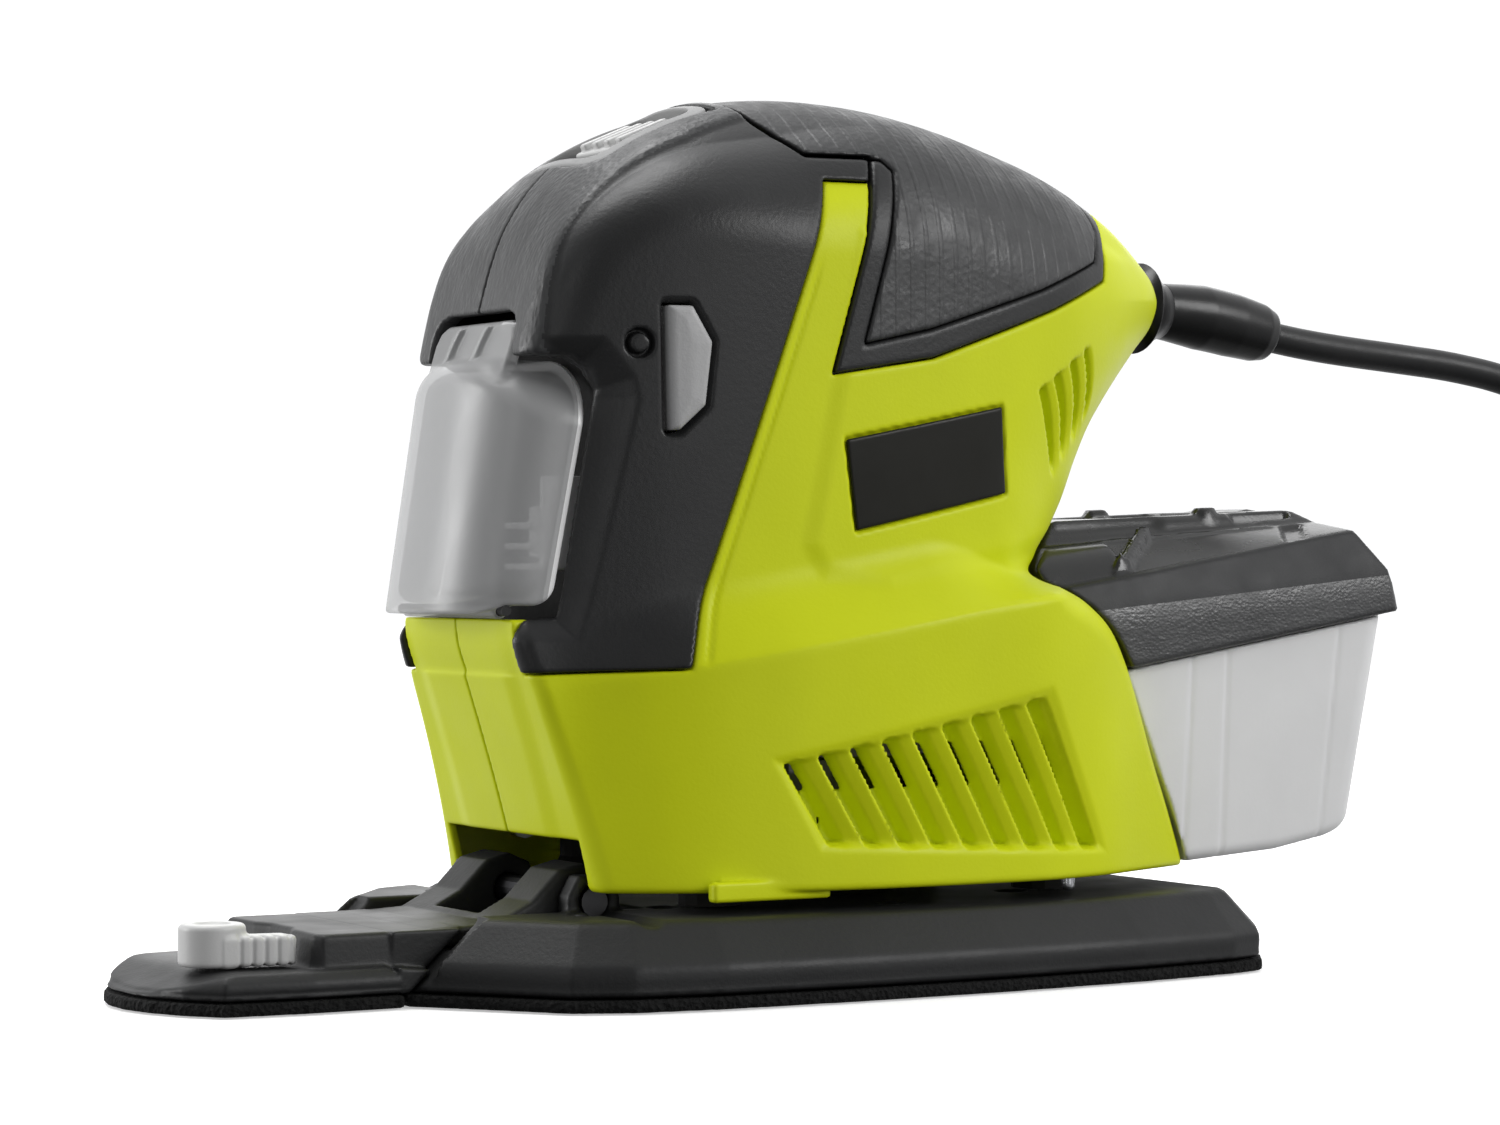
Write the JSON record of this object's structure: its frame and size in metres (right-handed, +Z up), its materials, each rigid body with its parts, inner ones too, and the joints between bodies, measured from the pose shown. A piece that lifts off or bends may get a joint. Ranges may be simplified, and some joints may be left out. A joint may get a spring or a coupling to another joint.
{
  "type": "detail sander",
  "caption": "Corded palm detail sander with a tilting pointed nose platen, orbiting main platen, see-through storage cover, soft grip and a clip-on dust box.",
  "frame": {"origin": "middle of the tool's own footprint box, on the surface that it stands on; the lead isn't counted", "axes": "+X towards the dust box and the lead, nose towards -X; +Z up; the tool's left side is -Y"},
  "size_m": [0.3578, 0.1908, 0.1553],
  "materials": {
    "lime_shell": "fine satin texture",
    "black_cover": "lightly grained satin",
    "soft_grip": "leather-like grain",
    "badge": "blank plate",
    "grey_plastic": "satin",
    "pale_plastic": "satin",
    "frosted_cover": "frosted, see-through",
    "frosted_bin": "frosted, see-through",
    "platen_plastic": "satin",
    "hook_pad": "hook-and-loop pile",
    "steel": "turned and ground",
    "copper": "machined",
    "laminations": "stacked sheets",
    "filter_paper": "pleated",
    "capacitor_film": "dipped",
    "cord_rubber": "semi-matt",
    "plug_plastic": "moulded"
  },
  "bodies": {
    "housing": {"badge_left": "badge", "badge_right": "badge", "bearing_bridge": "grey_plastic", "body_screw_1": "steel", "body_screw_2": "steel", "body_screw_3": "steel", "brush_holder_left": "copper", "brush_holder_right": "copper", "cord": "cord_rubber", "cord_boot": "cord_rubber", "cord_coil": "cord_rubber", "cord_gland": "cord_rubber", "cover_screw_left": "steel", "cover_screw_right": "steel", "dust_outlet": "black_cover", "front_cover_left": "black_cover", "front_cover_right": "black_cover", "grip_overmould": "soft_grip", "left_housing": "lime_shell", "lower_bearing": "steel", "plug_body": "plug_plastic", "plug_pin_a": "steel", "plug_pin_b": "steel", "right_housing": "lime_shell", "stator": "laminations", "storage_cover_pin": "steel", "storage_tray": "black_cover", "suppression_capacitor": "capacitor_film", "switch_module": "black_cover", "switch_surround": "grey_plastic", "terminal_block": "pale_plastic", "upper_bearing": "steel", "upper_bearing_seat": "black_cover"},
    "rotor": {"motor_shaft": "steel", "armature": "laminations", "commutator": "copper", "fan": "grey_plastic", "eccentric": "steel"},
    "platen": {"main_platen": "platen_plastic", "main_pad": "hook_pad", "platen_bearing": "steel", "platen_post_1": "platen_plastic", "platen_post_2": "platen_plastic", "platen_post_3": "platen_plastic", "platen_post_4": "platen_plastic", "detent_spring": "steel", "nose_pivot_pin": "steel"},
    "nose": {"nose_platen": "platen_plastic", "nose_pad": "hook_pad"},
    "nose_latch": {"nose_latch": "pale_plastic"},
    "storage_cover": {"storage_cover": "frosted_cover"},
    "release_left": {"release_button_left": "grey_plastic"},
    "release_right": {"release_button_right": "grey_plastic"},
    "switch_slider": {"on_off_switch": "pale_plastic", "switch_link": "pale_plastic"},
    "dust_box": {"dust_box_lid": "black_cover", "dust_box_bin": "frosted_bin", "dust_filter": "filter_paper", "dust_box_latch": "black_cover"}
  },
  "joints": [
    {"name": "spindle_spin", "type": "hinge", "parent": "housing", "child": "rotor", "pos_m": [0.0071, 0, 0.09], "axis": [0, 0, 1], "continuous": true},
    {"name": "platen_orbit", "type": "hinge", "parent": "rotor", "child": "platen", "pos_m": [0.0081, 0, 0.018], "axis": [0, 0, 1], "continuous": true},
    {"name": "nose_tilt", "type": "hinge", "parent": "platen", "child": "nose", "pos_m": [-0.0449, 0, 0.016], "axis": [0, 1, 0], "range_deg": [0, 66]},
    {"name": "nose_latch_turn", "type": "hinge", "parent": "nose", "child": "nose_latch", "pos_m": [-0.1082, -0.0095, 0.011], "axis": [0, 0, 1], "range_deg": [-60, 0]},
    {"name": "storage_cover_open", "type": "hinge", "parent": "housing", "child": "storage_cover", "pos_m": [-0.0599, 0, 0.0652], "axis": [0, 1, 0], "range_deg": [-75, 0]},
    {"name": "release_push_left", "type": "slide", "parent": "housing", "child": "release_left", "axis": [0, 1, 0], "range_m": [0, 0.0025], "stiffness_N_per_m": 500},
    {"name": "release_push_right", "type": "slide", "parent": "housing", "child": "release_right", "axis": [0, -1, 0], "range_m": [0, 0.0025], "stiffness_N_per_m": 500},
    {"name": "switch_slide", "type": "slide", "parent": "housing", "child": "switch_slider", "axis": [-0.9203, 0, -0.3911], "range_m": [0, 0.006]},
    {"name": "dust_box_slide", "type": "slide", "parent": "housing", "child": "dust_box", "axis": [0.9848, 0, 0.1736], "range_m": [0, 0.045]}
  ],
  "couplings": [
    {"joint": "platen_orbit", "follows": "spindle_spin", "ratio": -1}
  ]
}
